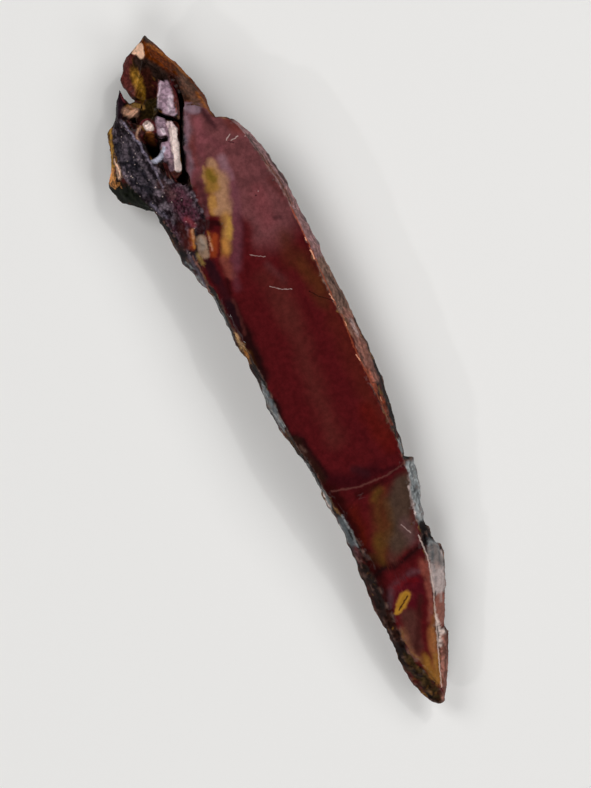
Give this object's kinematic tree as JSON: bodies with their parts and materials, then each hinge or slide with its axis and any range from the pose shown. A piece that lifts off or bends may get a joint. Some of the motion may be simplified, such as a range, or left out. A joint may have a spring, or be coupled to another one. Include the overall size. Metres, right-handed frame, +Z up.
{
  "type": "rough mookaite jasper",
  "caption": "Long broken wedge of rough mookaite jasper with a smooth wine-red face, an ochre streak and a craggy druzy end, to lie on a shelf or table.",
  "frame": {"origin": "on the resting surface, in the middle of the stone's length and width", "axes": "+X along the stone from the thin tip to the craggy end, +Y to the druzy edge, +Z up out of the smooth face"},
  "size_m": [0.172, 0.0408, 0.018],
  "materials": {
    "jasper": "natural broken stone, glossy as when wet, burgundy with mustard, lilac and brown"
  },
  "bodies": {
    "root": {"mookaite_stone": "jasper"}
  },
  "joints": []
}
